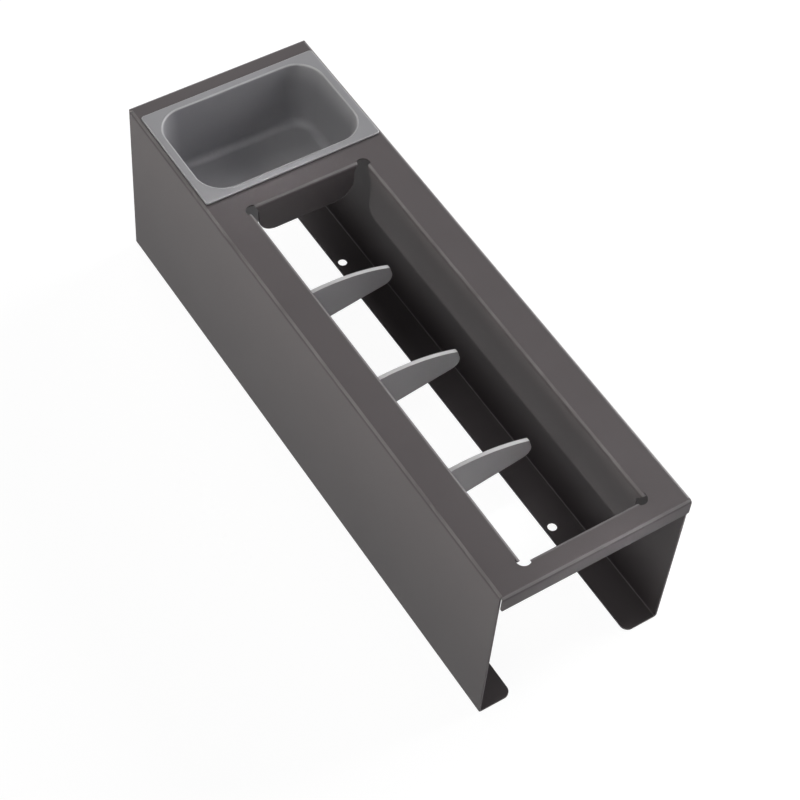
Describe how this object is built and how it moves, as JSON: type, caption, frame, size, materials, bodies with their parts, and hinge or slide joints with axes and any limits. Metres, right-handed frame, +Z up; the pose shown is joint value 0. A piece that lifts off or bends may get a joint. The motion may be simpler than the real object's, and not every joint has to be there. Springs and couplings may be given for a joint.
{
  "type": "drawer organizer",
  "caption": "Drawer organizer: a bridge-shaped frame folded from sheet metal, with screw holes in its feet, a long opening with sliding clip-on dividers, and a lift-out bin hanging in its top.",
  "frame": {"origin": "on the surface under the feet, at the middle of the frame", "axes": "+X across the frame to the right, +Y along the frame towards the bin, +Z up"},
  "size_m": [0.148, 0.4786, 0.146],
  "materials": {
    "powder_coat": "fine matt powder coat, warm dark grey",
    "bin_plastic": "satin moulded plastic, light grey",
    "divider_plastic": "satin moulded plastic, light grey"
  },
  "bodies": {
    "frame": {"frame": "powder_coat"},
    "bin": {"bin": "bin_plastic"},
    "rear_divider": {"rear_divider": "divider_plastic"},
    "middle_divider": {"middle_divider": "divider_plastic"},
    "front_divider": {"front_divider": "divider_plastic"}
  },
  "joints": [
    {"name": "bin_lift", "type": "slide", "parent": "frame", "child": "bin", "axis": [0, 0, 1], "range_m": [0, 0.07]},
    {"name": "rear_divider_slide", "type": "slide", "parent": "frame", "child": "rear_divider", "axis": [0, 1, 0], "range_m": [-0.032, 0.054]},
    {"name": "middle_divider_slide", "type": "slide", "parent": "frame", "child": "middle_divider", "axis": [0, 1, 0], "range_m": [-0.032, 0.032]},
    {"name": "front_divider_slide", "type": "slide", "parent": "frame", "child": "front_divider", "axis": [0, 1, 0], "range_m": [-0.058, 0.032]}
  ]
}
